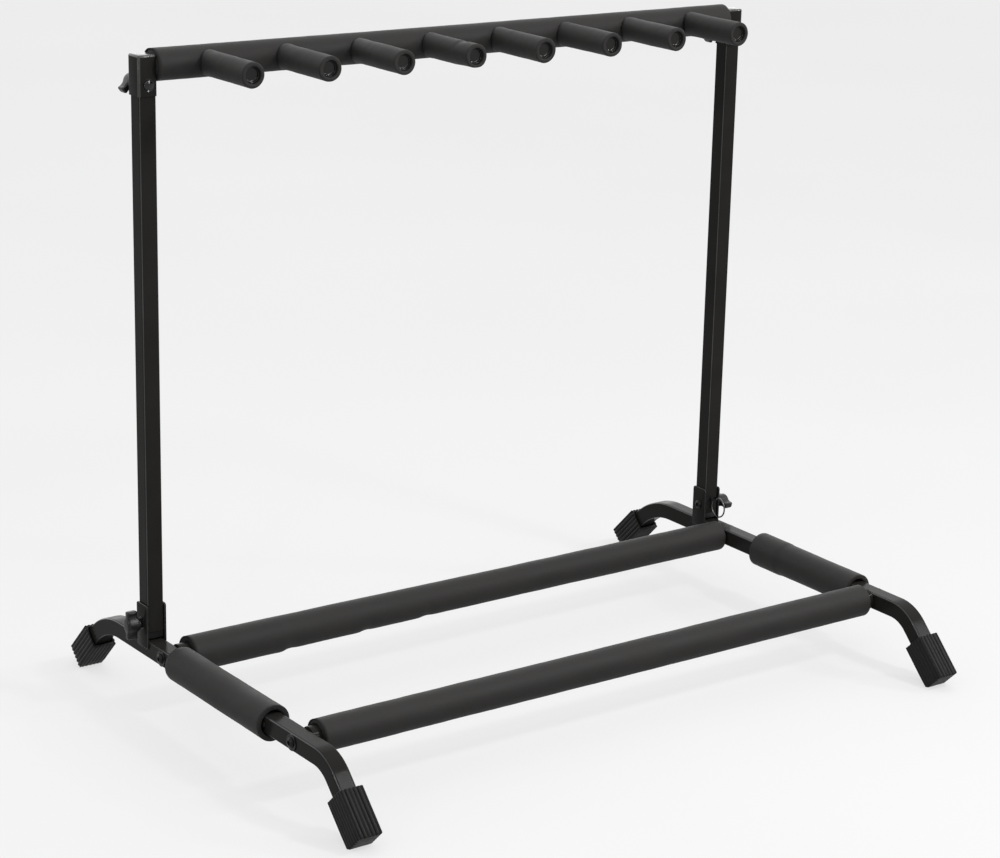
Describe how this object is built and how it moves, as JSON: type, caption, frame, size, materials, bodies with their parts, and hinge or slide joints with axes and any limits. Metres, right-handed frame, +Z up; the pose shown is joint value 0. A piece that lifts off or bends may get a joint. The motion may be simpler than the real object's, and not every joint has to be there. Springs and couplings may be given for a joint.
{
  "type": "guitar rack",
  "caption": "Folding floor rack for guitars: bent side legs, padded crossbars and an upper frame with padded pegs on its top rail.",
  "frame": {"origin": "floor level, in the middle of the footprint", "axes": "+X to the right along the rails, -Y front, where the pegs point, +Z up"},
  "size_m": [0.859, 0.6212, 0.738],
  "materials": {
    "steel": "satin",
    "rubber": "matte",
    "foam": "matte",
    "plastic": "satin",
    "zinc": "satin"
  },
  "bodies": {
    "base": {"leg_left": "steel", "leg_right": "steel", "foot_front_left": "rubber", "foot_front_right": "rubber", "foot_rear_left": "rubber", "foot_rear_right": "rubber", "ear_left_outer": "steel", "ear_left_inner": "steel", "ear_right_inner": "steel", "ear_right_outer": "steel", "crossbar_front": "steel", "crossbar_rear": "steel", "crossbar_inserts": "zinc", "crossbar_bolts": "zinc", "crossbar_washers": "zinc", "sleeve_front": "foam", "sleeve_rear": "foam", "sleeve_leg_left": "foam", "sleeve_leg_right": "foam", "leg_rivets": "zinc", "pivot_bolts": "zinc", "pivot_washers": "zinc"},
    "upper_frame": {"upright_left": "steel", "upright_right": "steel", "upright_bottom_plugs": "plastic", "upright_top_plugs": "plastic", "bracket_left": "steel", "bracket_right": "steel", "top_bar": "steel", "sleeve_top": "foam", "peg_1": "steel", "peg_2": "steel", "peg_3": "steel", "peg_4": "steel", "peg_5": "steel", "peg_6": "steel", "peg_7": "steel", "peg_8": "steel", "sleeve_peg_1": "foam", "sleeve_peg_2": "foam", "sleeve_peg_3": "foam", "sleeve_peg_4": "foam", "sleeve_peg_5": "foam", "sleeve_peg_6": "foam", "sleeve_peg_7": "foam", "sleeve_peg_8": "foam", "peg_caps": "plastic", "top_bolts": "zinc", "top_washers": "zinc"},
    "knob_base_left": {"knob_base_left": "plastic"},
    "knob_base_right": {"knob_base_right": "plastic"},
    "knob_top_left": {"knob_top_left": "plastic"},
    "knob_top_right": {"knob_top_right": "plastic"},
    "pull_pin": {"pull_pin": "zinc"},
    "pull_ring": {"pull_ring": "zinc"}
  },
  "joints": [
    {"name": "fold", "type": "hinge", "parent": "base", "child": "upper_frame", "pos_m": [0, 0.13872, 0.103], "axis": [-1, 0, 0], "range_deg": [0, 90]},
    {"name": "turn_knob_base_left", "type": "hinge", "parent": "base", "child": "knob_base_left", "pos_m": [-0.4165, 0.13872, 0.103], "axis": [-1, 0, 0], "continuous": true},
    {"name": "turn_knob_base_right", "type": "hinge", "parent": "base", "child": "knob_base_right", "pos_m": [0.4165, 0.13872, 0.103], "axis": [1, 0, 0], "continuous": true},
    {"name": "turn_knob_top_left", "type": "hinge", "parent": "upper_frame", "child": "knob_top_left", "pos_m": [-0.3975, 0.15772, 0.7015], "axis": [0, 1, 0], "continuous": true},
    {"name": "turn_knob_top_right", "type": "hinge", "parent": "upper_frame", "child": "knob_top_right", "pos_m": [0.3975, 0.15772, 0.7015], "axis": [0, 1, 0], "continuous": true},
    {"name": "pull_pin_out", "type": "slide", "parent": "upper_frame", "child": "pull_pin", "axis": [0, -1, 0], "range_m": [0, 0.006], "stiffness_N_per_m": 400, "springref_m": -0.006},
    {"name": "lift_ring", "type": "hinge", "parent": "pull_pin", "child": "pull_ring", "pos_m": [0.3975, 0.12372, 0.1125], "axis": [-1, 0, 0], "range_deg": [0, 90]}
  ]
}
